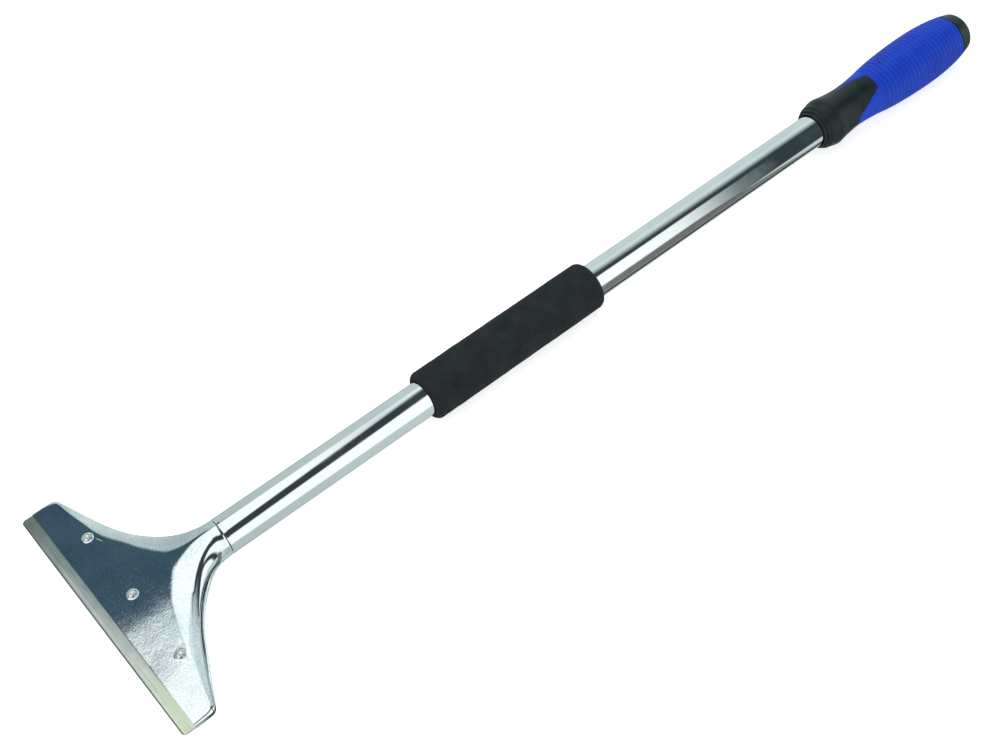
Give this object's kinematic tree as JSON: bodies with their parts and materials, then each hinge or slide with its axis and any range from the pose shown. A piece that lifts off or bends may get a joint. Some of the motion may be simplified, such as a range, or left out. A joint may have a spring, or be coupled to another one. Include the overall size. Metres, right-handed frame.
{
  "type": "long-handled blade scraper",
  "caption": "Long-handled scraper: straight replaceable blade clamped by screws in a fan-shaped plated head, steel tube handle, foam sleeve and moulded two-part grip.",
  "frame": {"origin": "under the middle of the whole tool, at the lowest point of the grip", "axes": "+X along the blade, +Y along the handle from the blade to the grip, +Z out of the side that shows the screw tips"},
  "size_m": [0.1524, 0.591, 0.0326],
  "materials": {
    "plated_steel": "bright plated pressed steel with a faint crystalline mottle",
    "chrome": "mirror plated tube",
    "blade_steel": "dull oiled spring steel, ground edge",
    "screw_steel": "zinc plated",
    "sleeve_steel": "bare drawn steel",
    "foam": "fine closed-cell foam, matt",
    "hard_plastic": "satin moulded plastic",
    "soft_rubber": "soft moulded rubber with fine ribs"
  },
  "bodies": {
    "handle": {"head_front_skin": "plated_steel", "head_back_skin": "plated_steel", "neck_sleeve": "sleeve_steel", "handle_tube": "chrome", "foam_sleeve": "foam", "grip_core": "hard_plastic", "grip_cover": "soft_rubber", "end_cap": "hard_plastic"},
    "blade": {"blade": "blade_steel"},
    "screw_1": {"clamp_screw_1": "screw_steel"},
    "screw_2": {"clamp_screw_2": "screw_steel"},
    "screw_3": {"clamp_screw_3": "screw_steel"}
  },
  "joints": [
    {"name": "blade_slide", "type": "slide", "parent": "handle", "child": "blade", "axis": [0, -1, 0], "range_m": [0, 0.02]},
    {"name": "screw_1_travel", "type": "slide", "parent": "handle", "child": "screw_1", "axis": [0, 0, -1], "range_m": [0, 0.003]},
    {"name": "screw_2_travel", "type": "slide", "parent": "handle", "child": "screw_2", "axis": [0, 0, -1], "range_m": [0, 0.003]},
    {"name": "screw_3_travel", "type": "slide", "parent": "handle", "child": "screw_3", "axis": [0, 0, -1], "range_m": [0, 0.003]}
  ]
}
